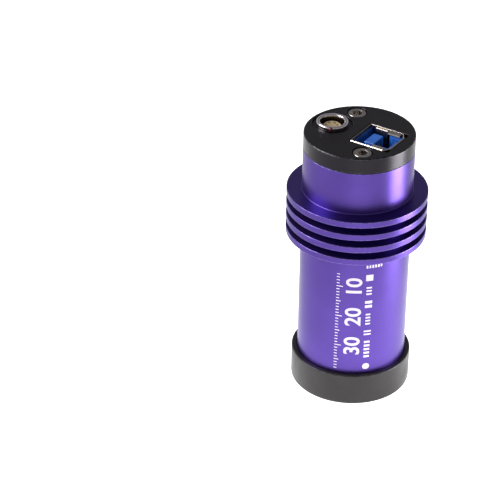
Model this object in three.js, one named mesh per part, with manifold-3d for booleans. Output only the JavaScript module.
// A 1.25 inch finned planetary and guiding camera, standing nose down on its push-on dust cap.
// Millimetres, +Z up. The origin is the centre of the dust cap's underside, on the barrel's axis.
// +X points from the guide port to the USB port, both of which face up at the rear end.
import * as THREE from "three";
import { mergeVertices } from "three/addons/utils/BufferGeometryUtils.js";
import Module from "manifold-3d";

const wasm = await Module();
wasm.setup();

// ---- Driving dimensions ----
const FIT = 0.1; // gap between pieces that touch on the real camera
const ROUND = 48; // facets round a large outside diameter
const INNER_ROUND = 32;
const SMALL_ROUND = 20;

const barrel = { radius: 15.85, front: 1.8, chamfer: 0.4 }; // 31.7 mm, the 1.25 inch eyepiece size
const fins = { radius: 20.2, top: 63.3, thickness: 1.9, pitch: 4, count: 4 };
const cap = { radius: 17.5, height: 9.9, floor: 1.5, chamfer: 0.4, rimChamfer: 0.3 };
const cover = { bottom: 76.3, top: 81, chamfer: 0.4, spigotRadius: 14.1, spigotWall: 1.2, spigotDepth: 1.7 };
const bore = { rear: 14.25, nose: 14.05, lip: 13, lipBottom: 10.3, lipTop: 11.3 };

// The two cover screws stand opposite each other on this circle.
const screwCircle = { radius: 11.75, angle: THREE.MathUtils.degToRad(124) };
const lug = { radius: 2.9, bottom: 68, hole: 1.35, holeBottom: 69 };
const coverScrew = {
  head: 2.65,
  headHeight: 2.85,
  shank: 1.25,
  length: 8,
  flats: 2.5,
  socketDepth: 1.5,
  sink: 0.1,
  facets: SMALL_ROUND,
};
const smallScrew = {
  head: 1.6,
  headHeight: 1.3,
  shank: 0.8,
  length: 3.4,
  flats: 1.3,
  socketDepth: 0.7,
  facets: 12,
};

const lensRing = { front: 6, height: 4, radius: 13.9, bore: 12.3, neck: 12.85, neckHeight: 1.1 };
const spannerSlot = { width: 1.6, depth: 0.8 };
const lensSeal = { radius: 13.4, section: 0.42 };

const chamber = { bottom: 11.4, top: 19.7, radius: 14.1, aperture: 8, seat: 10.7, thread: 11.7, well: 10 };
const glass = { radius: 10.5, bottom: 12.4, thickness: 1.1 };
const glassSeal = { radius: 9.6, section: 0.35 };
const sensorBoard = { radius: 13, bottom: 19.8, thickness: 1.2, screwRadius: 11.4, hole: 1 };
const sensor = { x: 12, y: 9.3, thickness: 1.4, rim: 0.9, dieX: 5.6, dieY: 3.2, glass: 0.5 };

const mainBoard = { face: -0.3, thickness: 1.2, halfWidth: 13, bottom: 27, top: 74.2 };
const heatBlock = { face: -4.3, bottom: 38, top: 59, radius: 14.1 };
const blockScrew = { y: 10.5, z: 48, boss: 1.9, clearance: 1, tapped: 0.9 };

const usb = { x: 6.15, depth: 8.5, length: 17, top: 81.1, wall: 0.35, recess: 0.9 };
const guide = { x: -9, collar: 4.55, collarTop: 82, bore: 3.45, body: 4.25, bottom: 69 };
const insert = { radius: 2.5, top: 80.5, pinCircle: 1.6, pinRadius: 0.36, pinHole: 0.42 };
const nut = { radius: 5.05, height: 1.9, slot: 1.2 };

// ---- Materials ----
const material = (color, roughness, metalness) =>
  new THREE.MeshStandardMaterial({ color, roughness, metalness });
const violetAnodised = material(0x5a40b4, 0.3, 0.9);
const blackAnodised = material(0x1d1b20, 0.45, 0.7);
const capPlastic = material(0x2b292b, 0.6, 0);
const steel = material(0xa9a7a4, 0.3, 1);
const chrome = material(0xd9d6d4, 0.12, 1);
const gold = material(0xd8a640, 0.25, 1);
const blueInsulator = material(0x1c56c4, 0.4, 0);
const tanInsulator = material(0xb79f74, 0.5, 0);
const boardMask = material(0x123c22, 0.45, 0);
const chipEpoxy = material(0x18181a, 0.5, 0);
const ceramic = material(0x3a3530, 0.4, 0);
const opticalGlass = material(0xe8f2f0, 0.03, 0);
const sensorDie = material(0x2a3344, 0.15, 0.4);
const rubber = material(0x161616, 0.8, 0);
const thermalPad = material(0x8fa6b8, 0.8, 0);
const aluminium = material(0xb8babd, 0.4, 1);
const whitePlastic = material(0xe2dccb, 0.5, 0);
const ribbonGrey = material(0x8e9094, 0.6, 0);
const amberFilm = material(0xb06a1c, 0.4, 0);

// ---- Shape helpers: geometry in, solid out ----
function solid(geometry) {
  const bare = geometry.clone();
  bare.deleteAttribute("normal");
  bare.deleteAttribute("uv");
  const merged = mergeVertices(bare, 1e-4);
  const mesh = (triangles) =>
    new wasm.Manifold(
      new wasm.Mesh({ numProp: 3, vertProperties: merged.attributes.position.array, triVerts: triangles }),
    );
  const triangles = new Uint32Array(merged.index.array);
  const made = mesh(triangles);
  return made.volume() > 0 ? made : mesh(triangles.reverse());
}

function geometryOf(shape) {
  const mesh = shape.getMesh();
  const geometry = new THREE.BufferGeometry();
  geometry.setAttribute("position", new THREE.BufferAttribute(new Float32Array(mesh.vertProperties), 3));
  geometry.setIndex(new THREE.BufferAttribute(new Uint32Array(mesh.triVerts), 1));
  return geometry;
}

// A profile of [radius, z] points turned round Z. A profile that leaves the axis closes on itself.
function turned(profile, facets = INNER_ROUND) {
  const onAxis = profile[0][0] === 0;
  const points = (onAxis ? profile : [...profile, profile[0]]).map(([r, z]) => new THREE.Vector2(r, z));
  return solid(new THREE.LatheGeometry(points, facets).rotateX(Math.PI / 2));
}

const disc = (radius, bottom, top, facets = INNER_ROUND) =>
  turned([[0, bottom], [radius, bottom], [radius, top], [0, top]], facets);

const ring = (inner, outer, bottom, top, facets = INNER_ROUND) =>
  turned([[inner, bottom], [outer, bottom], [outer, top], [inner, top]], facets);

function box(x0, x1, y0, y1, z0, z1) {
  const made = new THREE.BoxGeometry(x1 - x0, y1 - y0, z1 - z0);
  return solid(made.translate((x0 + x1) / 2, (y0 + y1) / 2, (z0 + z1) / 2));
}

const blockAround = (halfX, halfY, bottom, top) => box(-halfX, halfX, -halfY, halfY, bottom, top);

// A closed outline of [x, y] points, raised from bottom to top.
function prism(outline, bottom, top) {
  const shape = new THREE.Shape(outline.map(([x, y]) => new THREE.Vector2(x, y)));
  const made = new THREE.ExtrudeGeometry(shape, { depth: top - bottom, bevelEnabled: false });
  return solid(made.translate(0, 0, bottom));
}

const hexagon = (acrossFlats) =>
  Array.from({ length: 6 }, (_, i) => {
    const angle = (i * Math.PI) / 3;
    const corner = acrossFlats / Math.sqrt(3);
    return [corner * Math.cos(angle), corner * Math.sin(angle)];
  });

const oRing = (radius, section) => {
  const sides = 6;
  const around = Array.from({ length: sides }, (_, i) => {
    const angle = (i * 2 * Math.PI) / sides;
    return [radius + section * Math.cos(angle), section * Math.sin(angle)];
  });
  return turned(around);
};

// A socket-head screw with its head's top at z = 0 and its shank pointing down.
function socketScrew({ head, headHeight, shank, length, flats, socketDepth, facets }) {
  const edge = 0.2;
  const tip = -headHeight - length;
  const under = -headHeight;
  const body = turned(
    [[0, tip], [shank, tip], [shank, under], [head, under], [head, -edge], [head - edge, 0], [0, 0]],
    facets,
  );
  return body.subtract(prism(hexagon(flats), -socketDepth, 1));
}

function place(group, name, shape, finish, x = 0, y = 0, z = 0) {
  const mesh = new THREE.Mesh(geometryOf(shape), finish);
  mesh.name = name;
  mesh.position.set(x, y, z);
  group.add(mesh);
  return mesh;
}

const onCircle = (radius, angle) => [radius * Math.cos(angle), radius * Math.sin(angle)];
const screwPlaces = [0, Math.PI].map((half) => onCircle(screwCircle.radius, screwCircle.angle + half));

// ---- Outside ----
function dustCap() {
  const wall = barrel.radius + FIT;
  const c = cap.chamfer;
  return turned(
    [[0, 0], [cap.radius - c, 0], [cap.radius, c], [cap.radius, cap.height - cap.rimChamfer],
      [cap.radius - cap.rimChamfer, cap.height], [wall, cap.height], [wall, cap.floor], [0, cap.floor]],
    ROUND,
  );
}

function housing() {
  const outside = [[bore.nose, barrel.front], [barrel.radius - barrel.chamfer, barrel.front],
    [barrel.radius, barrel.front + barrel.chamfer]];
  for (let i = fins.count - 1; i >= 0; i--) {
    const top = fins.top - i * fins.pitch;
    const bottom = top - fins.thickness;
    outside.push([barrel.radius, bottom], [fins.radius, bottom], [fins.radius, top], [barrel.radius, top]);
  }
  const rear = cover.bottom - FIT;
  const inside = [[barrel.radius, rear], [bore.rear, rear], [bore.rear, bore.lipTop], [bore.lip, bore.lipTop],
    [bore.lip, bore.lipBottom], [bore.nose, bore.lipBottom]];
  let made = turned([...outside, ...inside], ROUND);
  for (const [x, y] of screwPlaces) {
    made = made
      .add(disc(lug.radius, lug.bottom, rear, SMALL_ROUND).translate([x, y, 0]))
      .subtract(disc(lug.hole, lug.holeBottom, rear + 1, SMALL_ROUND).translate([x, y, 0]));
  }
  return made;
}

const usbCutOut = { halfX: 6.25, halfY: 6.15 };
const spotFace = { radius: 5.9, depth: 0.5 };

function rearCover() {
  const { bottom, top, chamfer, spigotRadius, spigotWall, spigotDepth } = cover;
  const radius = barrel.radius;
  const spigotBottom = bottom - spigotDepth;
  const screwSeat = top - coverScrew.sink - coverScrew.headHeight - FIT;
  const plate = turned(
    [[0, bottom], [radius, bottom], [radius, top - chamfer], [radius - chamfer, top], [0, top]],
    ROUND,
  );
  const spigot = ring(spigotRadius - spigotWall, spigotRadius, spigotBottom, bottom + 1, ROUND);
  const cuts = screwPlaces.flatMap(([x, y]) => [
    disc(lug.radius + 0.3, spigotBottom - 1, bottom, SMALL_ROUND).translate([x, y, 0]),
    disc(coverScrew.shank + 0.45, bottom - 1, top + 1, SMALL_ROUND).translate([x, y, 0]),
    disc(coverScrew.head + 0.25, screwSeat, top + 1).translate([x, y, 0]),
  ]);
  cuts.push(
    disc(guide.body + FIT, bottom - 1, top + 1).translate([guide.x, 0, 0]),
    disc(spotFace.radius, top - spotFace.depth, top + 1).translate([guide.x, 0, 0]),
    disc(nut.radius + 0.3, spigotBottom - 1, bottom).translate([guide.x, 0, 0]),
    blockAround(usbCutOut.halfX, usbCutOut.halfY, spigotBottom, top + 1).translate([usb.x, 0, 0]),
  );
  return cuts.reduce((shape, cut) => shape.subtract(cut), plate.add(spigot));
}

// ---- USB 3.0 Type-B socket, in a group whose origin is the centre of its mouth ----
// The wide half mates with the older plug; the narrow half, away from the board, holds the fast contacts.
const shell = { halfX: 6.05, halfY: 5.95, shoulder: 4.7, narrow: 3.7 };

function shellOutline(inset) {
  const [left, right, wide] = [-shell.halfX + inset, shell.halfX - inset, shell.halfY - inset];
  const shoulder = shell.shoulder - inset * 0.5;
  const narrow = shell.narrow - inset * 0.6;
  const half = [[right, narrow], [shoulder, wide], [left, wide]];
  return [...half.map(([x, y]) => [x, -y]).reverse(), ...half];
}

// One wide spring finger a side presses in on the plug.
const finger = { x: -3.8, width: 3.8, bend: 1.5, depth: 4.6 };
// The shoulders of the mouth are closed by flaps folded in from the sides.
const flap = { x0: 0.6, x1: 4.4, reach: 4.05, top: -0.05, thickness: 0.3 };

function springFinger(side) {
  const profile = [[0, -0.25], [finger.bend, -1.6], [finger.bend, -1.9], [0, -finger.depth]];
  const shape = new THREE.Shape(profile.map(([inward, z]) => new THREE.Vector2(-side * inward, z)));
  const upright = new THREE.Matrix4().makeBasis(
    new THREE.Vector3(0, 1, 0),
    new THREE.Vector3(0, 0, 1),
    new THREE.Vector3(1, 0, 0),
  );
  const made = new THREE.ExtrudeGeometry(shape, { depth: finger.width, bevelEnabled: false });
  return solid(made.applyMatrix4(upright)).translate([finger.x, side * (shell.halfY - usb.wall / 2), 0]);
}

function shoulderFlap(side) {
  const edges = [side * flap.reach, side * (shell.halfY - usb.wall / 2)];
  const [y0, y1] = [Math.min(...edges), Math.max(...edges)];
  return box(flap.x0, flap.x1, y0, y1, flap.top - flap.thickness, flap.top);
}

function usbShell() {
  const inside = prism(shellOutline(usb.wall), -usb.length - 1, 1);
  const tube = prism(shellOutline(0), -usb.length, 0).subtract(inside);
  const folded = [-1, 1].flatMap((side) => [springFinger(side), shoulderFlap(side)]);
  return folded.reduce((shape, added) => shape.add(added), tube);
}

const tongue = { x0: -3.15, x1: -0.05, half: 2.8 };
const fastTongue = { x0: 4.1, x1: 5.2, half: 2.3, sunk: 0.4 };
const contacts = [
  ...[tongue.x0, tongue.x1].flatMap((x, row) =>
    [-1.25, 1.25].map((y) => ({ x, y, side: row ? -1 : 1, width: 1, tail: row ? -18.6 : -17.8 })),
  ),
  ...[-1.6, -0.8, 0, 0.8, 1.6].map((y) => ({ x: fastTongue.x0, y, side: 1, width: 0.4, tail: -19.4 })),
];
const leaf = { thickness: 0.2, sink: 0.03, clearance: 0.05 };

// The plug's cavity. It is open to the shell's walls round the tongue, then narrow round the fast contacts.
const cavityHalf = [[5.2, 2.9], [2.6, 2.9], [0.9, 4.6], [0.9, 6], [-5.2, 6]];
const cavityOutline = [...cavityHalf.map(([x, y]) => [x, -y]).reverse(), ...cavityHalf];

function usbInsulator() {
  const mouth = -usb.recess;
  const floor = mouth - usb.depth;
  const body = prism(shellOutline(usb.wall + 0.05), -usb.length + 0.5, mouth);
  const slowTongue = box(tongue.x0, tongue.x1, -tongue.half, tongue.half, floor, mouth);
  const { x0: fastX0, x1: fastX1, half: fastHalf, sunk } = fastTongue;
  const tongues = slowTongue.add(box(fastX0, fastX1 + 0.01, -fastHalf, fastHalf, floor, mouth - sunk));
  const cuts = [prism(cavityOutline, floor, 1).subtract(tongues), ...contacts.map(contactSlot)];
  return cuts.reduce((shape, cut) => shape.subtract(cut), body);
}

// The strip cut into a tongue's face for one contact.
function contactSlot({ x, y, side, width }) {
  const deep = x + side * (leaf.thickness + leaf.sink + 0.07);
  const open = x - side * 0.01;
  const half = width / 2 + leaf.clearance;
  const top = -usb.recess - 0.8;
  return box(Math.min(deep, open), Math.max(deep, open), y - half, y + half, -usb.length - 1, top);
}

// One contact: a leaf along its tongue, and a tail bent over to the board.
function usbContact({ x, y, side, width, tail }) {
  const edges = [x + side * leaf.sink, x + side * (leaf.sink + leaf.thickness)];
  const [x0, x1] = [Math.min(...edges), Math.max(...edges)];
  const half = width / 2;
  const boardFace = mainBoard.face - usb.x + FIT;
  return box(x0, x1, y - half, y + half, tail, -usb.recess - 1).add(
    box(boardFace, x1, y - half, y + half, tail, tail + leaf.thickness),
  );
}

// ---- Guide port, in a group whose origin is on its axis at the rear cover's top ----
function guideCollar() {
  const z = (height) => height - cover.top;
  const top = z(guide.collarTop);
  const roll = 0.5; // the collar's rounded rim
  return turned(
    [[guide.bore, z(guide.bottom)], [guide.body, z(guide.bottom)], [guide.body, -0.45], [guide.collar, -0.45],
      [guide.collar, top - roll], [guide.collar - roll * 0.3, top - roll * 0.3], [guide.collar - roll, top],
      [guide.bore + 0.35, top], [guide.bore, top - 0.3]],
    32,
  );
}

// A thin ring nut, slotted for a spanner, because the housing leaves no room for a hexagon.
function guideNut() {
  const nutTop = cover.bottom - cover.top - FIT;
  const { radius, height, slot } = nut;
  const made = ring(guide.body + FIT, radius, nutTop - height, nutTop);
  const [bottom, top] = [nutTop - height - 1, nutTop - height / 2];
  const alongX = blockAround(radius + 1, slot / 2, bottom, top);
  const alongY = blockAround(slot / 2, radius + 1, bottom, top);
  return made.subtract(alongX).subtract(alongY);
}

const guidePins = Array.from({ length: 6 }, (_, i) => onCircle(insert.pinCircle, ((i + 0.5) * Math.PI) / 3));
const PIN_ROUND = 10;

function guideInsert() {
  const top = insert.top - cover.top;
  const bottom = guide.bottom - cover.top + 0.5;
  const flange = { radius: guide.bore - 0.05, height: 4 };
  const body = disc(insert.radius, bottom, top).add(disc(flange.radius, bottom, bottom + flange.height));
  const hole = disc(insert.pinHole, bottom - 1, top + 1, PIN_ROUND);
  return guidePins.reduce((shape, [x, y]) => shape.subtract(hole.translate([x, y, 0])), body);
}

function guideContact() {
  const stickOut = 0.8; // the solder end, below the insert
  const sunk = 0.15; // the mating end, just inside its hole
  const bottom = guide.bottom - cover.top - stickOut;
  return disc(insert.pinRadius, bottom, insert.top - cover.top - sunk, PIN_ROUND);
}

// ---- Front optics ----
function lensMountRing() {
  const { radius, bore: inner, neck, neckHeight, height } = lensRing;
  const chamfer = 0.3;
  const shoulder = height - neckHeight;
  const body = turned(
    [[inner, 0], [radius - chamfer, 0], [radius, chamfer], [radius, shoulder],
      [neck, shoulder], [neck, height], [inner, height]],
    ROUND,
  );
  return spannerSlots(radius, inner, spannerSlot.depth).reduce((shape, slot) => shape.subtract(slot), body);
}

// Two slots across a ring's lower face, for the spanner that turns it.
function spannerSlots(outer, inner, top) {
  const half = spannerSlot.width / 2;
  return [box(inner - 1, outer + 1, -half, half, -1, top), box(-outer - 1, -inner + 1, -half, half, -1, top)];
}

function sensorChamber() {
  const { thread, radius, bottom, top, well, aperture, seat } = chamber;
  const glassSeat = glass.bottom + glass.thickness + 2 * glassSeal.section;
  const stop = glassSeat + 1.2;
  const step = glass.bottom - FIT;
  const body = turned([[thread, bottom], [radius, bottom], [radius, top], [well, top], [well, stop],
    [aperture, stop], [aperture, glassSeat], [seat, glassSeat], [seat, step], [thread, step]]);
  return drilled(body, bottom + 3, top + 1);
}

function windowRetainer() {
  const outer = chamber.thread - 0.15;
  const inner = 9.2;
  const bottom = chamber.bottom + 0.05;
  const body = ring(inner, outer, bottom, glass.bottom - 2 * FIT);
  return spannerSlots(outer, inner, bottom + 0.4).reduce((shape, slot) => shape.subtract(slot), body);
}

// ---- Sensor board, on four small screws ----
const sensorScrews = [1, 3, 5, 7].map((eighth) => onCircle(sensorBoard.screwRadius, (eighth * Math.PI) / 4));

function drilled(shape, bottom, top) {
  const hole = disc(sensorBoard.hole, bottom, top, smallScrew.facets);
  return sensorScrews.reduce((left, [x, y]) => left.subtract(hole.translate([x, y, 0])), shape);
}

function sensorBoardPlate() {
  const { radius, thickness } = sensorBoard;
  return drilled(disc(radius, 0, thickness), -1, thickness + 1);
}

// The package hangs under the board, with the die in a pocket behind its own cover glass.
const sensorTop = -FIT;
const sensorBottom = sensorTop - sensor.thickness;
const pocket = { x: sensor.x / 2 - sensor.rim, y: sensor.y / 2 - sensor.rim, top: sensorTop - 0.4 };

function sensorPackage() {
  const body = blockAround(sensor.x / 2, sensor.y / 2, sensorBottom, sensorTop);
  return body.subtract(blockAround(pocket.x, pocket.y, sensorBottom - 1, pocket.top));
}

function dieBlock() {
  const top = pocket.top - 0.05;
  return blockAround(sensor.dieX / 2, sensor.dieY / 2, top - 0.35, top);
}

function sensorGlass() {
  return blockAround(pocket.x - FIT, pocket.y - FIT, sensorBottom, sensorBottom + sensor.glass);
}

// ---- Electronics ----
// A round bar along X at each of the two places where the main board is screwed to the heat block.
function crossBars(radius, x0, x1) {
  return [-1, 1].map((side) => {
    const bar = solid(new THREE.CylinderGeometry(radius, radius, x1 - x0, 12).rotateZ(Math.PI / 2));
    return bar.translate([(x0 + x1) / 2, side * blockScrew.y, blockScrew.z]);
  });
}

const boardBack = mainBoard.face - mainBoard.thickness - FIT; // parts here face the guide port's side
const boardFront = mainBoard.face + FIT; // parts here face the USB port's side

function mainBoardPlate() {
  const { face, thickness, halfWidth, bottom, top } = mainBoard;
  const notch = { half: 4, height: 1.5 };
  const plate = box(face - thickness, face, -halfWidth, halfWidth, bottom, top).subtract(
    box(face - 5, face + 5, -notch.half, notch.half, bottom - 1, bottom + notch.height),
  );
  const holes = crossBars(blockScrew.clearance, face - 5, face + 5);
  return holes.reduce((shape, hole) => shape.subtract(hole), plate);
}

function heatBlockBody() {
  const { face, bottom, top, radius } = heatBlock;
  const half = disc(radius, bottom, top, ROUND).subtract(box(face, 20, -20, 20, bottom - 1, top + 1));
  const bosses = crossBars(blockScrew.boss, face - 1, boardBack);
  const bossed = bosses.reduce((shape, boss) => shape.add(boss), half);
  const holes = crossBars(blockScrew.tapped, face - 2.5, boardBack + 1);
  return holes.reduce((shape, hole) => shape.subtract(hole), bossed);
}

// A flat strip swept along a smooth curve through [x, z] points, in the plane y = 0.
function flatStrip(points, width, thickness) {
  const route = points.map(([x, z]) => new THREE.Vector3(x, 0, z));
  const curve = new THREE.CatmullRomCurve3(route, false, "centripetal");
  const steps = 14;
  const edge = (sign) =>
    curve.getSpacedPoints(steps).map((p, i) => {
      const along = curve.getTangentAt(i / steps).multiplyScalar((sign * thickness) / 2);
      return new THREE.Vector2(p.x - along.z, p.z + along.x);
    });
  const shape = new THREE.Shape([...edge(1), ...edge(-1).reverse()]);
  const made = new THREE.ExtrudeGeometry(shape, { depth: width, bevelEnabled: false });
  return solid(made.rotateX(Math.PI / 2).translate(0, width / 2, 0));
}

// Parts on the main board: [name, which face, height off it, width, length, y, z, material].
const FRONT = 1;
const BACK = -1;
const boardParts = [
  ["usb_controller_chip", BACK, 1.2, 10, 10, 0, 52, chipEpoxy],
  ["memory_chip", BACK, 1.1, 8, 9, 4.5, 41.2, chipEpoxy],
  ["guide_header", BACK, 3, 8, 3.2, 0, 62.6, whitePlastic],
  ["sensor_flex_socket", BACK, 1.4, 9, 3, 0, 31.4, whitePlastic],
  ["image_processor_chip", FRONT, 1.5, 13, 13, 0, 46, chipEpoxy],
  ["power_inductor_1", FRONT, 2, 4, 4, -9.5, 34, ceramic],
  ["power_inductor_2", FRONT, 2, 4, 4, -9.5, 40, ceramic],
  ["clock_crystal", FRONT, 0.9, 3.2, 2.5, 8, 37, aluminium],
  ["guide_optocoupler_1", FRONT, 2, 6, 4.4, 6, 57.5, chipEpoxy],
  ["guide_optocoupler_2", FRONT, 2, 6, 4.4, -6, 57.5, chipEpoxy],
];

function boardPart(side, height, width, length) {
  const [x0, x1] = side === FRONT ? [boardFront, boardFront + height] : [boardBack - height, boardBack];
  return box(x0, x1, -width / 2, width / 2, -length / 2, length / 2);
}

// The soft pad fills the space between the USB controller and the heat block.
function padBlock() {
  const half = 5;
  const chipHeight = 1.2;
  return box(heatBlock.face + 0.05, boardBack - chipHeight - 0.05, -half, half, -half, half);
}

// ---- Assembly ----
const camera = new THREE.Group();

function section(x, y, z) {
  const group = new THREE.Group();
  group.position.set(x, y, z);
  camera.add(group);
  return group;
}

const outside = section(0, 0, 0);
place(outside, "dust_cap", dustCap(), capPlastic);
place(outside, "housing", housing(), violetAnodised);
place(outside, "rear_cover", rearCover(), blackAnodised);
screwPlaces.forEach(([x, y], i) => {
  place(outside, `cover_screw_${i + 1}`, socketScrew(coverScrew), steel, x, y, cover.top - coverScrew.sink);
});

const guidePort = section(guide.x, 0, cover.top);
place(guidePort, "guide_port_collar", guideCollar(), chrome);
place(guidePort, "guide_port_nut", guideNut(), steel);
place(guidePort, "guide_port_insert", guideInsert(), tanInsulator);
guidePins.forEach(([x, y], i) => {
  place(guidePort, `guide_port_contact_${i + 1}`, guideContact(), gold, x, y);
});

const usbPort = section(usb.x, 0, usb.top);
place(usbPort, "usb_shell", usbShell(), steel);
place(usbPort, "usb_insulator", usbInsulator(), blueInsulator);
contacts.forEach((contact, i) => {
  place(usbPort, `usb_contact_${i + 1}`, usbContact(contact), gold);
});

const optics = section(0, 0, 0);
const ringSealHeight = lensRing.front + lensRing.height - lensRing.neckHeight / 2;
const windowSealHeight = glass.bottom + glass.thickness + glassSeal.section;
place(optics, "lens_mount_ring", lensMountRing(), blackAnodised, 0, 0, lensRing.front);
place(optics, "lens_ring_seal", oRing(lensSeal.radius, lensSeal.section), rubber, 0, 0, ringSealHeight);
place(optics, "sensor_chamber", sensorChamber(), blackAnodised);
place(optics, "window_retaining_ring", windowRetainer(), blackAnodised);
place(optics, "window_glass", disc(glass.radius, 0, glass.thickness), opticalGlass, 0, 0, glass.bottom);
place(optics, "window_seal", oRing(glassSeal.radius, glassSeal.section), rubber, 0, 0, windowSealHeight);

const sensorStack = section(0, 0, sensorBoard.bottom);
place(sensorStack, "sensor_board", sensorBoardPlate(), boardMask);
place(sensorStack, "sensor_package", sensorPackage(), ceramic);
place(sensorStack, "sensor_die", dieBlock(), sensorDie);
place(sensorStack, "sensor_cover_glass", sensorGlass(), opticalGlass);
sensorScrews.forEach(([x, y], i) => {
  const headTop = sensorBoard.thickness + FIT + smallScrew.headHeight;
  place(sensorStack, `sensor_board_screw_${i + 1}`, socketScrew(smallScrew), steel, x, y, headTop);
});

const electronics = section(0, 0, 0);
const plugBottom = sensorBoard.bottom + sensorBoard.thickness + FIT;
const flexRoute = [[-2.3, 29.7], [-2.6, 28], [-5, 26.2], [-7, 24.8], [-6.6, 23], [-4.6, 22.4], [-2, 22.3]];
const ribbonRoute = [[-9, 67.6], [-8.6, 66.6], [-5.4, 66.2], [-3.4, 65.6], [-3.1, 64.4]];
place(electronics, "main_board", mainBoardPlate(), boardMask);
for (const [name, side, height, width, length, y, z, finish] of boardParts) {
  place(electronics, name, boardPart(side, height, width, length), finish, 0, y, z);
}
place(electronics, "controller_thermal_pad", padBlock(), thermalPad, 0, 0, 52);
place(electronics, "heat_block", heatBlockBody(), aluminium);
[-1, 1].forEach((side, i) => {
  const headTop = boardFront + smallScrew.headHeight;
  const { y, z } = blockScrew;
  const name = `main_board_screw_${i + 1}`;
  const screw = place(electronics, name, socketScrew(smallScrew), steel, headTop, side * y, z);
  screw.rotation.y = Math.PI / 2;
});
place(electronics, "guide_ribbon", flatStrip(ribbonRoute, 6, 0.9), ribbonGrey);
place(electronics, "sensor_flex", flatStrip(flexRoute, 7, 0.25), amberFilm);
place(electronics, "sensor_flex_plug", box(-2.4, 1.4, -4, 4, plugBottom, plugBottom + 1), whitePlastic);

export default camera;
